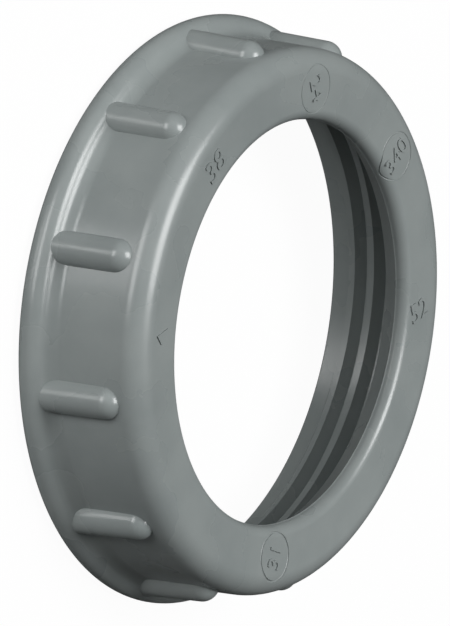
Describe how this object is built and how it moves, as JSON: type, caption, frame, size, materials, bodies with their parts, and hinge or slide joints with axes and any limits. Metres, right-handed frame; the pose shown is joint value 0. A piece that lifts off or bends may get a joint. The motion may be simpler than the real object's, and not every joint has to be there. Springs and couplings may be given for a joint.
{
  "type": "conduit bushing",
  "caption": "Ribbed grey plastic ring that screws on a conduit's end, with a rolled lip that guards the cables.",
  "frame": {"origin": "centre of the flange's back face, on the bore's axis", "axes": "+Z along the bore, from the flange's back face to the rolled lip; +X through the middle of a grip rib"},
  "size_m": [0.0556, 0.0556, 0.0124],
  "materials": {
    "grey_plastic": "satin moulded"
  },
  "bodies": {
    "root": {"bushing": "grey_plastic"}
  },
  "joints": []
}
